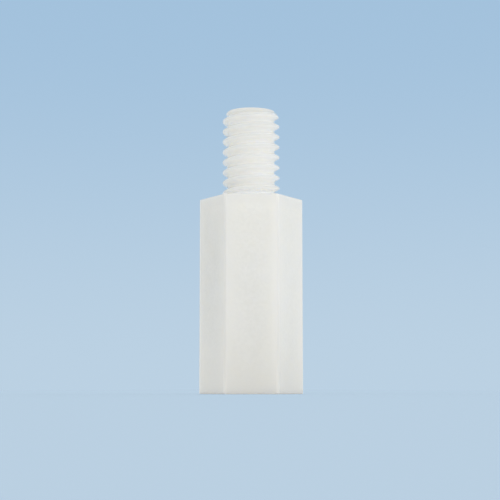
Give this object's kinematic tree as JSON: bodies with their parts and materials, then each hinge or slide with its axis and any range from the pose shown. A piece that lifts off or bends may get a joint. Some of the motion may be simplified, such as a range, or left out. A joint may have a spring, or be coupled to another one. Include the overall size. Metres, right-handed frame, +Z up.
{
  "type": "hex standoff",
  "caption": "Male-female hexagon standoff moulded in natural nylon, with a coarse right-hand threaded stud at one end and a tapped hole in the other.",
  "frame": {"origin": "middle of the hexagon's open end, which is the end it stands on", "axes": "+Z up the axis to the free end of the threaded stud; two flats of the hexagon face +Y and -Y, and two long edges lie on +X and -X"},
  "size_m": [0.0068, 0.006, 0.019],
  "materials": {
    "natural_nylon": "milky, slightly translucent moulded nylon with a soft satin sheen"
  },
  "bodies": {
    "root": {"hex_standoff": "natural_nylon"}
  },
  "joints": []
}
